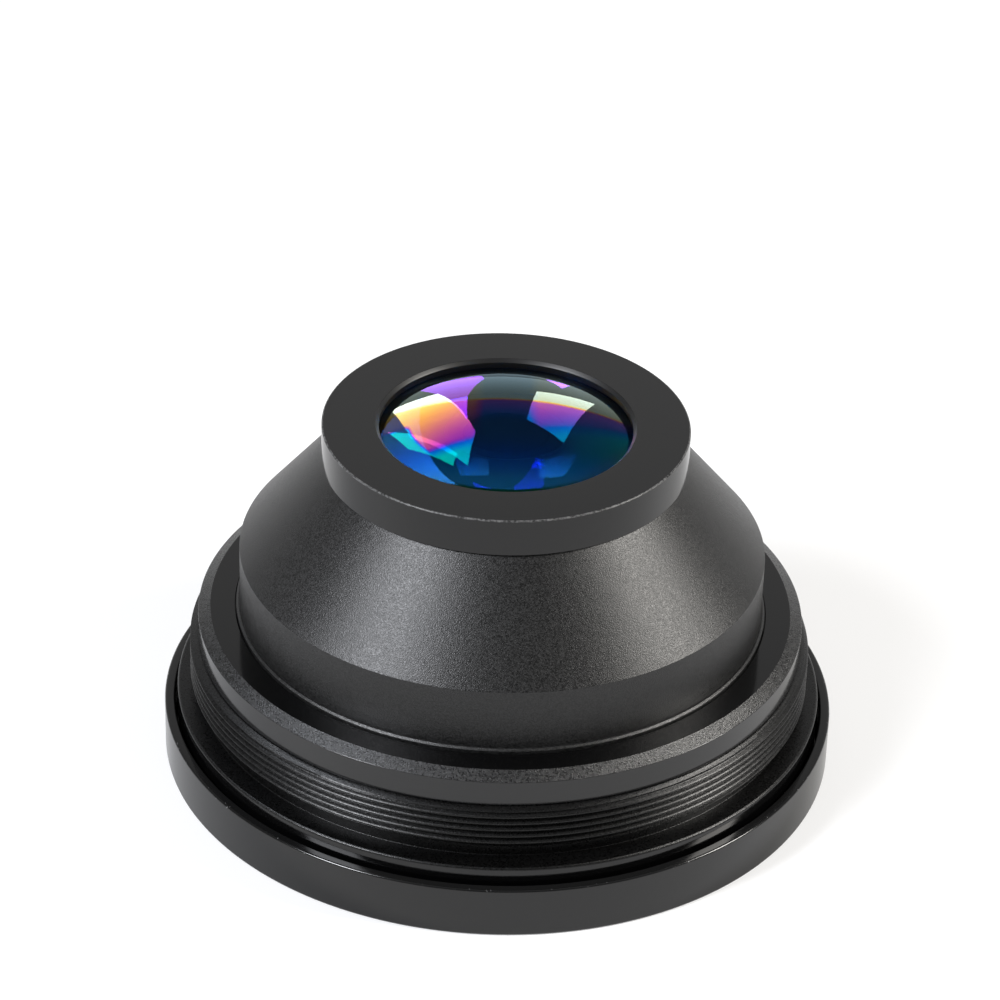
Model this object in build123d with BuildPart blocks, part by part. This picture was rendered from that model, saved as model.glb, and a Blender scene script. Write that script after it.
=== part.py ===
from build123d import *
from math import copysign, sqrt
import os

# f-theta scan lens with a male M85 x 1 mount, standing entrance side up in its moulded dust cap.
# Millimetres. The optical axis is Z, and z = 0 is the underside of the dust cap.
# Every piece is turned, so its profile is drawn in the XZ plane as (radius, height) and revolved.

# ---------------------------------------------------------------- driving dimensions
# Clearances
CAP_SEAT_GAP = 0.05  # under the housing, in the cap
CAP_FIT = 0.45  # radial, flange in the cap
LENS_FIT = 0.05  # radial, glass in its bore
THREAD_FIT = 0.1  # radial, between the plain cylinders that stand for inner threads
SHOULDER_FIT = 0.1  # radial, barrel shoulder in its counterbore
SEAL_PINCH = 0.01  # between an O-ring and each face that it touches
LIP_GAP = 0.03  # between the entrance lip and the dome
RING_GAP = 0.14  # between the entrance ring and the cone
NECK_GAP = 0.13  # between the entrance ring and the top of the neck
BAFFLE_GAP = 0.05  # between the baffle and the foot of the barrel
SPACER_GAP = 0.2  # between the spacer's flange and the step in the barrel

# Dust cap
CAP_HEIGHT = 7.27
CAP_WALL = 1.33
CAP_FLOOR = 1.2
CAP_FOOT_WIDTH = 5.0
CAP_FOOT_DEPTH = 0.4
CAP_ROUND = 0.35
CAP_RIM_ROUND = 0.15

# Main housing: radii go outward and inward from the mounting thread
THREAD_RADIUS = 42.5  # M85 x 1
THREAD_LENGTH = 5.45
THREAD_LEAD_HEIGHT = 0.4
THREAD_LEAD_WIDTH = 1.05
NECK_DEPTH = 1.2
NECK_HEIGHT = 2.05
FLANGE_WIDTH = 1.8
FLANGE_CHAMFER = 0.4
COLLAR_RELIEF = 1.16  # from the thread crest in to the collar
COLLAR_HEIGHT = 3.6
COLLAR_CHAMFER_HEIGHT = 0.93
COLLAR_CHAMFER_WIDTH = 1.68
COUNTERBORE_DEPTH = 1.5
BODY_WALL = 5.45  # from the thread crest in to the field lens bore
HOUSING_WEB = 1.5
FIELD_SEAT_WIDTH = 3.4

# Steps in radius from each lens bore to the next, towards the entrance, and out to the window
THIRD_STEP = 6.0
SECOND_STEP = 7.0
ENTRANCE_STEP = 5.0
WINDOW_STEP = 2.5

# Cone barrel
SHIM_THICKNESS = 0.2
SPIGOT_WALL = 3.55
SPIGOT_LENGTH = 5.3
SPIGOT_GROOVE_DEPTH = 0.8
SPIGOT_GROOVE_WIDTH = 1.2
SPIGOT_GROOVE_DROP = 2.0
SHOULDER_WIDTH = 1.55
SHOULDER_HEIGHT = 1.9
SHOULDER_LEDGE = 0.49
SHOULDER_CHAMFER = 0.25
COLUMN_HEIGHT = 8.6
CONE_HEIGHT = 13.7
SEAT_DEPTH = 0.4  # entrance lens seat, below the top of the cone
SEAT_WIDTH = 1.4
SEAT_WEB = 3.5  # web between the entrance lens and the second lens
SECOND_SEAT_WIDTH = 3.8
BARREL_NECK_WALL = 3.35

# Entrance ring and gasket
RING_WALL = 2.15
RING_OVERHANG = 0.35  # of the ring past the top of the cone
RING_LIP = 1.29
LIP_WIDTH = 1.99
RING_EDGE = 0.12  # broken edges
GASKET_EDGE = 0.1  # from the polished dome out to the gasket

# Optical elements: a positive curvature bulges towards the entrance, and 0 is flat
LENS_1_FRONT, LENS_1_REAR, LENS_1_THICKNESS, LENS_1_RIM = 40.0, 90.0, 6.58, 1.6
LENS_2_FRONT, LENS_2_REAR, LENS_2_THICKNESS, LENS_2_RIM = -75.0, 110.0, 2.6, 3.2
LENS_3_FRONT, LENS_3_REAR, LENS_3_THICKNESS, LENS_3_RIM = -95.0, -50.0, 8.5, 1.9
LENS_4_FRONT, LENS_4_REAR, LENS_4_THICKNESS, LENS_4_RIM = 0.0, -130.0, 7.6, 1.6
LENS_CHAMFER = 0.2
WINDOW_THICKNESS = 2.0
WINDOW_CHAMFER = 0.25
WINDOW_AIR = 0.8  # between the window and the field lens

# Spacer, retaining rings, baffle and seals
SPACER_HUB = 1.0  # height of the hub above the flange
SPACER_HUB_WALL = 2.4
SPACER_LAND = 0.3  # straight part of the bore below the hub
SPACER_FLANGE = 2.0
SPACER_FLANGE_WALL = 2.5
O_RING_3 = 0.8
RETAINER_3_HEIGHT = 3.0
RETAINER_3_WALL = 2.3
O_RING_4 = 0.8
RETAINER_4_HEIGHT = 2.6
RETAINER_4_WALL = 3.0
O_RING_WINDOW = 0.6
WINDOW_RING_HEIGHT = 1.55
WINDOW_RING_WALL = 3.4
WINDOW_RING_RECESS = 0.3
SLOT_WIDTH = 2.0
SLOT_DEPTH = 0.7
SLOT_COUNT = 2
BAFFLE_THICKNESS = 0.35
BAFFLE_WALL = 4.0
BAFFLE_EDGE = 0.15


# ---------------------------------------------------------------- shared geometry
def surface(vertex, curvature, radius):
    """Height of a spherical surface at a radius; a flat face has curvature 0."""
    if curvature == 0:
        return vertex
    return vertex - copysign(abs(curvature) - sqrt(curvature**2 - radius**2), curvature)


def sag(curvature, radius):
    """How far a surface falls from its vertex to a radius."""
    return -surface(0, curvature, radius)


def turned(*corners):
    """A closed (radius, height) outline with straight sides, ready to revolve."""
    with BuildSketch(Plane.XZ) as outline:
        with BuildLine():
            Polyline(*corners, close=True)
        make_face()
    return outline.sketch


def o_ring(radius, height, thickness):
    """The section of an O-ring, clear of both faces by the named pinch."""
    with BuildSketch(Plane.XZ) as outline:
        with Locations((radius, height)):
            Circle(thickness / 2 - SEAL_PINCH)
    return outline.sketch


def optic(rim, front, front_vertex, front_rim, rear, rear_vertex, rear_rim):
    """Half section of a lens: two polished arcs, ground flats for seating and an edged rim."""
    front_edge = surface(front_vertex, front, front_rim)
    rear_edge = surface(rear_vertex, rear, rear_rim)
    with BuildSketch(Plane.XZ) as outline:
        with BuildLine():
            if front == 0:
                Line((0, front_vertex), (front_rim, front_edge))
            else:
                half = front_rim / 2
                middle = (half, surface(front_vertex, front, half))
                ThreePointArc((0, front_vertex), middle, (front_rim, front_edge))
            Polyline(
                (front_rim, front_edge),
                (rim - LENS_CHAMFER, front_edge),
                (rim, front_edge - LENS_CHAMFER),
                (rim, rear_edge + LENS_CHAMFER),
                (rim - LENS_CHAMFER, rear_edge),
                (rear_rim, rear_edge),
            )
            half = rear_rim / 2
            middle = (half, surface(rear_vertex, rear, half))
            ThreePointArc((rear_rim, rear_edge), middle, (0, rear_vertex))
            Line((0, rear_vertex), (0, front_vertex))
        make_face()
    return outline.sketch


def spanner_slots(face_height, inner, outer):
    """Slots for a pin spanner, cut upward into the lower face of a retaining ring."""
    with BuildSketch(Plane.XY.offset(face_height)) as slots:
        with PolarLocations((inner + outer) / 2, SLOT_COUNT):
            Rectangle(2 * (outer - inner), SLOT_WIDTH)
    return slots.sketch


# ---------------------------------------------------------------- radii
bore_4 = THREAD_RADIUS - BODY_WALL
bore_3 = bore_4 - THIRD_STEP
bore_2 = bore_3 - SECOND_STEP
bore_1 = bore_2 - ENTRANCE_STEP
window_bore = bore_4 + WINDOW_STEP
lens_4_radius = bore_4 - LENS_FIT
lens_3_radius = bore_3 - LENS_FIT
lens_2_radius = bore_2 - LENS_FIT
lens_1_radius = bore_1 - LENS_FIT
window_radius = window_bore - LENS_FIT
lens_4_rim = lens_4_radius - LENS_4_RIM
lens_3_rim = lens_3_radius - LENS_3_RIM
lens_2_rim = lens_2_radius - LENS_2_RIM
lens_1_rim = lens_1_radius - LENS_1_RIM

neck_radius = THREAD_RADIUS - NECK_DEPTH
flange_radius = THREAD_RADIUS + FLANGE_WIDTH
lead_radius = THREAD_RADIUS - THREAD_LEAD_WIDTH
collar_radius = THREAD_RADIUS - COLLAR_RELIEF
cap_bore = flange_radius + CAP_FIT
cap_radius = cap_bore + CAP_WALL
cap_foot = cap_radius - CAP_FOOT_WIDTH
web_opening = bore_4 - FIELD_SEAT_WIDTH

spigot_radius = bore_3 + SPIGOT_WALL
spigot_bore = spigot_radius + THREAD_FIT
groove_floor = spigot_radius - SPIGOT_GROOVE_DEPTH
shoulder_radius = spigot_radius + SHOULDER_WIDTH
counterbore = shoulder_radius + SHOULDER_FIT
column_radius = shoulder_radius - SHOULDER_LEDGE
barrel_neck_radius = bore_1 + BARREL_NECK_WALL
ring_bore = barrel_neck_radius + THREAD_FIT
ring_radius = ring_bore + RING_WALL
ring_opening = lens_1_radius - LIP_WIDTH
cone_top_radius = ring_radius - RING_OVERHANG


# ---------------------------------------------------------------- heights along the axis
# From the foot of the housing up: window, field lens, web, baffle, spigot, collar
housing_foot = CAP_FLOOR + CAP_SEAT_GAP
window_ring_foot = housing_foot + WINDOW_RING_RECESS
window_foot = window_ring_foot + WINDOW_RING_HEIGHT
window_top = window_foot + WINDOW_THICKNESS
window_ledge = window_top + O_RING_WINDOW
lens_4_rear_vertex = window_top + WINDOW_AIR
lens_4_rear_edge = surface(lens_4_rear_vertex, LENS_4_REAR, lens_4_rim)
web_foot = lens_4_rear_vertex + LENS_4_THICKNESS
web_top = web_foot + HOUSING_WEB
spigot_foot = web_top + BAFFLE_THICKNESS + BAFFLE_GAP
shoulder_foot = spigot_foot + SPIGOT_LENGTH
counterbore_floor = shoulder_foot - SHIM_THICKNESS
retainer_4_top = lens_4_rear_edge - O_RING_4
retainer_4_foot = retainer_4_top - RETAINER_4_HEIGHT

# From the top of the collar down: thread, neck, flange
collar_top = counterbore_floor + COUNTERBORE_DEPTH
collar_edge = collar_top - COLLAR_CHAMFER_HEIGHT
collar_foot = collar_edge - COLLAR_HEIGHT
thread_top = collar_foot - THREAD_LEAD_HEIGHT
thread_foot = thread_top - THREAD_LENGTH
flange_top = thread_foot - NECK_HEIGHT

# From the shoulder of the barrel up to the entrance ring
column_foot = shoulder_foot + SHOULDER_HEIGHT
cone_foot = column_foot + COLUMN_HEIGHT
cone_top = cone_foot + CONE_HEIGHT
groove_top = shoulder_foot - SPIGOT_GROOVE_DROP
groove_foot = groove_top - SPIGOT_GROOVE_WIDTH
seat_1 = cone_top - SEAT_DEPTH
seat_2 = seat_1 - SEAT_WEB
lens_1_rear_vertex = seat_1 + sag(LENS_1_REAR, lens_1_rim)
lens_1_apex = lens_1_rear_vertex + LENS_1_THICKNESS
lens_1_front_edge = surface(lens_1_apex, LENS_1_FRONT, lens_1_rim)
ring_foot = cone_top + RING_GAP
lip_foot = surface(lens_1_apex, LENS_1_FRONT, ring_opening) + LIP_GAP
ring_top = lip_foot + RING_LIP
neck_top = lip_foot - NECK_GAP

# Second lens, spacer and third lens hang from the web, one below the other
lens_2_front_vertex = seat_2 + sag(LENS_2_FRONT, lens_2_rim)
lens_2_rear_vertex = lens_2_front_vertex - LENS_2_THICKNESS
lens_2_rear_edge = surface(lens_2_rear_vertex, LENS_2_REAR, lens_2_rim)
spacer_flange_top = lens_2_rear_edge - SPACER_HUB
spacer_foot = spacer_flange_top - SPACER_FLANGE
step_3 = spacer_flange_top + SPACER_GAP
lens_3_front_vertex = spacer_foot + sag(LENS_3_FRONT, lens_3_rim)
lens_3_rear_vertex = lens_3_front_vertex - LENS_3_THICKNESS
lens_3_rear_edge = surface(lens_3_rear_vertex, LENS_3_REAR, lens_3_rim)
retainer_3_top = lens_3_rear_edge - O_RING_3
retainer_3_foot = retainer_3_top - RETAINER_3_HEIGHT


# ---------------------------------------------------------------- dust cap
with BuildPart() as dust_cap:
    revolve(
        turned(
            (0, CAP_FOOT_DEPTH),
            (cap_foot, CAP_FOOT_DEPTH),
            (cap_foot, 0),
            (cap_radius, 0),
            (cap_radius, CAP_HEIGHT),
            (cap_bore, CAP_HEIGHT),
            (cap_bore, CAP_FLOOR),
            (0, CAP_FLOOR),
        ),
        axis=Axis.Z,
    )
    fillet(dust_cap.edges().group_by(Axis.Z)[0].sort_by(SortBy.RADIUS)[-1], CAP_ROUND)
    fillet(dust_cap.edges().group_by(Axis.Z)[-1], CAP_RIM_ROUND)
dust_cap.part.label = "dust_cap"

# ---------------------------------------------------------------- main housing
with BuildPart() as main_housing:
    revolve(
        turned(
            (window_bore, housing_foot),
            (flange_radius - FLANGE_CHAMFER, housing_foot),
            (flange_radius, housing_foot + FLANGE_CHAMFER),
            (flange_radius, flange_top - FLANGE_CHAMFER),
            (flange_radius - FLANGE_CHAMFER, flange_top),
            (neck_radius, flange_top),
            (neck_radius, thread_foot),
            (THREAD_RADIUS, thread_foot),
            (THREAD_RADIUS, thread_top),
            (lead_radius, collar_foot),
            (collar_radius, collar_foot),
            (collar_radius, collar_edge),
            (collar_radius - COLLAR_CHAMFER_WIDTH, collar_top),
            (counterbore, collar_top),
            (counterbore, counterbore_floor),
            (spigot_bore, counterbore_floor),
            (spigot_bore, web_top),
            (web_opening, web_top),
            (web_opening, web_foot),
            (bore_4, web_foot),
            (bore_4, window_ledge),
            (window_bore, window_ledge),
        ),
        axis=Axis.Z,
    )
main_housing.part.label = "main_housing"

# ---------------------------------------------------------------- cone barrel
with BuildPart() as cone_barrel:
    revolve(
        turned(
            (bore_3, spigot_foot),
            (spigot_radius, spigot_foot),
            (spigot_radius, groove_foot),
            (groove_floor, groove_foot),
            (groove_floor, groove_top),
            (spigot_radius, groove_top),
            (spigot_radius, shoulder_foot),
            (shoulder_radius, shoulder_foot),
            (shoulder_radius, column_foot - SHOULDER_CHAMFER),
            (shoulder_radius - SHOULDER_CHAMFER, column_foot),
            (column_radius, column_foot),
            (column_radius, cone_foot),
            (cone_top_radius, cone_top),
            (barrel_neck_radius, cone_top),
            (barrel_neck_radius, neck_top),
            (bore_1, neck_top),
            (bore_1, seat_1),
            (bore_1 - SEAT_WIDTH, seat_1),
            (bore_2 - SECOND_SEAT_WIDTH, seat_2),
            (bore_2, seat_2),
            (bore_2, step_3),
            (bore_3, step_3),
        ),
        axis=Axis.Z,
    )
cone_barrel.part.label = "cone_barrel"

# ---------------------------------------------------------------- entrance ring and gasket
with BuildPart() as entrance_ring:
    revolve(
        turned(
            (ring_bore, ring_foot),
            (ring_radius - RING_EDGE, ring_foot),
            (ring_radius, ring_foot + RING_EDGE),
            (ring_radius, ring_top - RING_EDGE),
            (ring_radius - RING_EDGE, ring_top),
            (ring_opening + RING_EDGE, ring_top),
            (ring_opening, ring_top - RING_EDGE),
            (ring_opening, lip_foot),
            (ring_bore, lip_foot),
        ),
        axis=Axis.Z,
    )
entrance_ring.part.label = "entrance_ring"

with BuildPart() as entrance_gasket:
    inner = lens_1_rim + GASKET_EDGE
    outer = lens_1_radius - LENS_CHAMFER
    revolve(
        turned(
            (inner, lens_1_front_edge),
            (outer, lens_1_front_edge),
            (outer, lip_foot),
            (inner, lip_foot),
        ),
        axis=Axis.Z,
    )
entrance_gasket.part.label = "entrance_gasket"

# ---------------------------------------------------------------- lenses and window
with BuildPart() as entrance_lens:
    revolve(
        optic(
            lens_1_radius, LENS_1_FRONT, lens_1_apex, lens_1_rim,
            LENS_1_REAR, lens_1_rear_vertex, lens_1_rim,
        ),
        axis=Axis.Z,
    )
entrance_lens.part.label = "entrance_lens"

with BuildPart() as second_lens:
    revolve(
        optic(
            lens_2_radius, LENS_2_FRONT, lens_2_front_vertex, lens_2_rim,
            LENS_2_REAR, lens_2_rear_vertex, lens_2_rim,
        ),
        axis=Axis.Z,
    )
second_lens.part.label = "second_lens"

with BuildPart() as third_lens:
    revolve(
        optic(
            lens_3_radius, LENS_3_FRONT, lens_3_front_vertex, lens_3_rim,
            LENS_3_REAR, lens_3_rear_vertex, lens_3_rim,
        ),
        axis=Axis.Z,
    )
third_lens.part.label = "third_lens"

with BuildPart() as field_lens:
    revolve(
        optic(
            lens_4_radius, LENS_4_FRONT, web_foot, lens_4_rim,
            LENS_4_REAR, lens_4_rear_vertex, lens_4_rim,
        ),
        axis=Axis.Z,
    )
field_lens.part.label = "field_lens"

with BuildPart() as protective_window:
    with BuildSketch(Plane.XY.offset(window_foot)):
        Circle(window_radius)
    extrude(amount=WINDOW_THICKNESS)
    chamfer(protective_window.edges().filter_by(GeomType.CIRCLE), WINDOW_CHAMFER)
protective_window.part.label = "protective_window"

# ---------------------------------------------------------------- spacer between second and third lens
with BuildPart() as stepped_spacer:
    hub_bore = lens_2_radius - SPACER_HUB_WALL
    revolve(
        turned(
            (hub_bore, lens_2_rear_edge),
            (lens_2_radius, lens_2_rear_edge),
            (lens_2_radius, spacer_flange_top),
            (lens_3_radius, spacer_flange_top),
            (lens_3_radius, spacer_foot),
            (lens_3_radius - SPACER_FLANGE_WALL, spacer_foot),
            (hub_bore, spacer_flange_top - SPACER_LAND),
        ),
        axis=Axis.Z,
    )
stepped_spacer.part.label = "stepped_spacer"


# ---------------------------------------------------------------- threaded retaining rings
with BuildPart() as third_lens_retainer:
    outer = bore_3 - THREAD_FIT
    inner = lens_3_radius - RETAINER_3_WALL
    revolve(
        turned(
            (inner, retainer_3_foot),
            (outer, retainer_3_foot),
            (outer, retainer_3_top),
            (inner, retainer_3_top),
        ),
        axis=Axis.Z,
    )
    extrude(spanner_slots(retainer_3_foot, inner, outer), amount=SLOT_DEPTH, mode=Mode.SUBTRACT)
third_lens_retainer.part.label = "third_lens_retainer"

with BuildPart() as field_lens_retainer:
    outer = bore_4 - THREAD_FIT
    inner = lens_4_radius - RETAINER_4_WALL
    revolve(
        turned(
            (inner, retainer_4_foot),
            (outer, retainer_4_foot),
            (outer, retainer_4_top),
            (inner, retainer_4_top),
        ),
        axis=Axis.Z,
    )
    extrude(spanner_slots(retainer_4_foot, inner, outer), amount=SLOT_DEPTH, mode=Mode.SUBTRACT)
field_lens_retainer.part.label = "field_lens_retainer"

with BuildPart() as window_retaining_ring:
    outer = window_bore - THREAD_FIT
    inner = window_radius - WINDOW_RING_WALL
    revolve(
        turned(
            (inner, window_ring_foot),
            (outer, window_ring_foot),
            (outer, window_foot),
            (inner, window_foot),
        ),
        axis=Axis.Z,
    )
    extrude(spanner_slots(window_ring_foot, inner, outer), amount=SLOT_DEPTH, mode=Mode.SUBTRACT)
window_retaining_ring.part.label = "window_retaining_ring"

# ---------------------------------------------------------------- shim and baffle
with BuildPart() as barrel_shim:
    revolve(
        turned(
            (spigot_bore, counterbore_floor),
            (shoulder_radius, counterbore_floor),
            (shoulder_radius, shoulder_foot),
            (spigot_bore, shoulder_foot),
        ),
        axis=Axis.Z,
    )
barrel_shim.part.label = "barrel_shim"

with BuildPart() as stray_light_baffle:
    inner = spigot_radius - BAFFLE_WALL
    baffle_top = web_top + BAFFLE_THICKNESS
    revolve(
        turned(
            (inner, web_top),
            (spigot_radius, web_top),
            (spigot_radius, baffle_top),
            (inner + BAFFLE_THICKNESS, baffle_top),
            (inner, web_top + BAFFLE_EDGE),
        ),
        axis=Axis.Z,
    )
stray_light_baffle.part.label = "stray_light_baffle"

# ---------------------------------------------------------------- O-rings
with BuildPart() as third_lens_o_ring:
    middle = lens_3_radius - LENS_3_RIM / 2
    revolve(o_ring(middle, lens_3_rear_edge - O_RING_3 / 2, O_RING_3), axis=Axis.Z)
third_lens_o_ring.part.label = "third_lens_o_ring"

with BuildPart() as field_lens_o_ring:
    middle = lens_4_radius - LENS_4_RIM / 2
    revolve(o_ring(middle, lens_4_rear_edge - O_RING_4 / 2, O_RING_4), axis=Axis.Z)
field_lens_o_ring.part.label = "field_lens_o_ring"

with BuildPart() as window_o_ring:
    middle = (bore_4 + window_bore) / 2
    revolve(o_ring(middle, window_top + O_RING_WINDOW / 2, O_RING_WINDOW), axis=Axis.Z)
window_o_ring.part.label = "window_o_ring"

with BuildPart() as barrel_o_ring:
    middle = (groove_floor + spigot_bore) / 2
    revolve(o_ring(middle, (groove_top + groove_foot) / 2, spigot_bore - groove_floor), axis=Axis.Z)
barrel_o_ring.part.label = "barrel_o_ring"

# ---------------------------------------------------------------- one STEP file for each piece
os.makedirs("parts", exist_ok=True)
export_step(dust_cap.part, "parts/dust_cap.step")
export_step(main_housing.part, "parts/main_housing.step")
export_step(cone_barrel.part, "parts/cone_barrel.step")
export_step(entrance_ring.part, "parts/entrance_ring.step")
export_step(entrance_gasket.part, "parts/entrance_gasket.step")
export_step(entrance_lens.part, "parts/entrance_lens.step")
export_step(second_lens.part, "parts/second_lens.step")
export_step(stepped_spacer.part, "parts/stepped_spacer.step")
export_step(third_lens.part, "parts/third_lens.step")
export_step(third_lens_o_ring.part, "parts/third_lens_o_ring.step")
export_step(third_lens_retainer.part, "parts/third_lens_retainer.step")
export_step(barrel_shim.part, "parts/barrel_shim.step")
export_step(barrel_o_ring.part, "parts/barrel_o_ring.step")
export_step(stray_light_baffle.part, "parts/stray_light_baffle.step")
export_step(field_lens.part, "parts/field_lens.step")
export_step(field_lens_o_ring.part, "parts/field_lens_o_ring.step")
export_step(field_lens_retainer.part, "parts/field_lens_retainer.step")
export_step(window_o_ring.part, "parts/window_o_ring.step")
export_step(protective_window.part, "parts/protective_window.step")
export_step(window_retaining_ring.part, "parts/window_retaining_ring.step")
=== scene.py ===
# %% [markdown]
# # An f theta scan lens, standing on its dust cap
# This lens focuses the beam of a galvo scanner onto a flat field. It is a black barrel that
# carries four lenses, with a male mounting thread low on its housing. It stands entrance side
# up in the moulded cap that protects its rear window.
# The frame holds the engineered solids. This script turns finer versions of the pieces that
# show, gives every piece its real finish, and sets up the studio around them.

# %% Load the frame
from math import atan2, cos, hypot, inf, pi, radians, sin, sqrt, tan

import bpy
from mathutils import Matrix, Vector


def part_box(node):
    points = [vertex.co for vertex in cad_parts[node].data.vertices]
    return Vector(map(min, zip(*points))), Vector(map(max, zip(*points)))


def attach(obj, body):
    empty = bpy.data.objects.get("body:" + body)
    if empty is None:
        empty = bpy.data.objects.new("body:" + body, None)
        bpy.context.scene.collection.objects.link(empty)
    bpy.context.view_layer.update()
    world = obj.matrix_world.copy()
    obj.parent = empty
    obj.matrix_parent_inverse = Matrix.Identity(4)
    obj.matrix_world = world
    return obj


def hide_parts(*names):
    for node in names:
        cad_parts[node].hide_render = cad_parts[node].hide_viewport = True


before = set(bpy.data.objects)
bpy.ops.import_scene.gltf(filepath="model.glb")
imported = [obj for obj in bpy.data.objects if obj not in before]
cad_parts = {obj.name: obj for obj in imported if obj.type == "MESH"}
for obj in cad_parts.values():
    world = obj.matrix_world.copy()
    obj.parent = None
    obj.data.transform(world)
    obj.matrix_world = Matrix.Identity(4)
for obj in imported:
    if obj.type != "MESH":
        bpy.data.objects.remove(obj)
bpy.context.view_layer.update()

print("frame nodes:", sorted(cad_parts))

# %% [markdown]
# ## Units and the sizes that the frame already knows
# Blender works in metres and a lens maker works in millimetres. Profiles below are written in
# millimetres and scaled once, as the mesh is made. Heights come from the boxes of the frame's
# own pieces, so a change in the solids carries through to these finer pieces.

# %% Sizes from the frame
MM = 0.001


def reach(node):
    """Outer radius, lowest height and highest height of a frame piece, in millimetres."""
    low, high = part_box(node)
    return high[0] / MM, low[2] / MM, high[2] / MM


cap_radius, cap_base, cap_rim = reach("dust_cap")
flange_radius, housing_foot, collar_top = reach("main_housing")
shoulder_radius, spigot_foot, neck_top = reach("cone_barrel")
ring_radius, ring_foot, ring_top = reach("entrance_ring")
lens_radius, lens_seat, lens_apex = reach("entrance_lens")
_, counterbore_floor, shoulder_foot = reach("barrel_shim")
print("cap", cap_radius, "flange", flange_radius, "ring", ring_radius, "apex", lens_apex)

# %% [markdown]
# ## Turned pieces
# Each of these pieces comes off a lathe, so its mesh is one profile turned around the axis.
# A machinist breaks every edge, and a broken edge is what catches the light. `soften` swaps
# each corner of a profile for a small arc. A bevel modifier would do the same after the turn,
# but here each corner names its own size, from a sharp thread relief to a wide moulded round.

# %% Profile corners to points
ARC_STEPS = 4


def soften(corners):
    """Corners (radius, height, softening) become points, each soft corner a small arc."""
    points = []
    for index, (radius, height, softening) in enumerate(corners):
        here = Vector((radius, height))
        if softening == 0:
            points.append(here)
            continue
        back = (Vector(corners[index - 1][:2]) - here).normalized()
        ahead = (Vector(corners[(index + 1) % len(corners)][:2]) - here).normalized()
        half = back.angle(ahead) / 2
        centre = here + (back + ahead).normalized() * (softening / sin(half))
        start = here + back * (softening / tan(half)) - centre
        end = here + ahead * (softening / tan(half)) - centre
        first = atan2(start.y, start.x)
        swing = (atan2(end.y, end.x) - first + pi) % (2 * pi) - pi
        for step in range(ARC_STEPS + 1):
            turn = first + swing * step / ARC_STEPS
            points.append(centre + Vector((cos(turn), sin(turn))) * softening)
    return points


# %% Points to a turned mesh
SEGMENTS = 320
SHARP_ANGLE = radians(35)


def turned_faces(points, closed=True):
    """Vertices and faces of a profile turned around Z; a point on the axis becomes a pole."""
    vertices, faces, rings = [], [], []
    for point in points:
        first = len(vertices)
        if point.x == 0:
            vertices.append((0.0, 0.0, point.y * MM))
            rings.append([first] * SEGMENTS)
            continue
        for segment in range(SEGMENTS):
            turn = 2 * pi * segment / SEGMENTS
            vertices.append((point.x * MM * cos(turn), point.x * MM * sin(turn), point.y * MM))
        rings.append(list(range(first, first + SEGMENTS)))
    pairs = list(zip(rings, rings[1:]))
    if closed:
        pairs.append((rings[-1], rings[0]))
    for low, high in pairs:
        for here in range(SEGMENTS):
            there = (here + 1) % SEGMENTS
            loop = [low[here], low[there], high[there], high[here]]
            faces.append([v for n, v in enumerate(loop) if v != loop[n - 1]])
    return vertices, faces


def piece_from(name, vertices, faces):
    """A named object with smooth faces, sharp real edges and weighted normals."""
    mesh = bpy.data.meshes.new(name)
    mesh.from_pydata(vertices, [], faces)
    mesh.validate()
    mesh.shade_smooth()
    mesh.set_sharp_from_angle(angle=SHARP_ANGLE)
    piece = bpy.data.objects.new(name, mesh)
    bpy.context.scene.collection.objects.link(piece)
    piece.modifiers.new("flat_faces_stay_flat", "WEIGHTED_NORMAL").keep_sharp = True
    print(name, "faces", len(mesh.polygons))
    return piece


def turned_piece(name, corners):
    return piece_from(name, *turned_faces(soften(corners)))


# %% [markdown]
# ## Dust cap
# The cap is injection moulded in black plastic. Its wall is thin, its corner on the table is
# rounded so that it leaves the mould, and its floor is lifted on a narrow foot ring.

# %% Dust cap
CAP_WALL = 1.33
CAP_FLOOR = 1.2
CAP_FOOT_WIDTH = 5.0
CAP_FOOT_DEPTH = 0.4

cap_foot = cap_radius - CAP_FOOT_WIDTH
cap_bore = cap_radius - CAP_WALL
cap_profile = soften([
    (cap_foot, cap_base, 0.12),
    (cap_radius, cap_base, 0.45),
    (cap_radius, cap_rim, 0.3),
    (cap_bore, cap_rim, 0.22),
    (cap_bore, cap_base + CAP_FLOOR, 0.3),
    (0, cap_base + CAP_FLOOR, 0),
    (0, cap_base + CAP_FOOT_DEPTH, 0),
    (cap_foot, cap_base + CAP_FOOT_DEPTH, 0.1),
])
dust_cap = piece_from("dust_cap_moulding", *turned_faces(cap_profile))

# %% [markdown]
# ## Housing and its mounting thread
# The housing screws into the scan head with a male M85 x 1 thread. A thread is a helix, so no
# turned profile can show it. Its mesh is a sheet of rows that each climb one pitch in a turn,
# so the crests stay crisp at any size. Where the helix would pass the relief groove or the
# lead-in, the rows are held at that height and fall together.

# %% Thread section
PITCH = 1.0
THREAD_CREST = 42.5
THREAD_DEPTH = 0.6134
THREAD_FOOT = 11.62
THREAD_TOP = 17.07
COLLAR_FOOT = 17.47
LEAD_RADIUS = 41.45
# How far below the crest the thread is, at shares of one pitch up from the middle of a crest.
THREAD_SECTION = [
    (0.0, 0.0), (0.045, 0.0), (0.075, 0.014), (0.22, 0.262), (0.36, 0.525), (0.43, 0.596),
    (0.5, THREAD_DEPTH), (0.57, 0.596), (0.64, 0.525), (0.78, 0.262), (0.925, 0.014), (0.955, 0.0),
]


def thread_radius(share):
    """Radius of the thread at a share of the pitch."""
    share %= 1.0
    steps = THREAD_SECTION + [(1.0, 0.0)]
    for (low, depth_low), (high, depth_high) in zip(steps, steps[1:]):
        if share <= high:
            return THREAD_CREST - depth_low - (depth_high - depth_low) * (share - low) / (high - low)
    return THREAD_CREST


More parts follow.
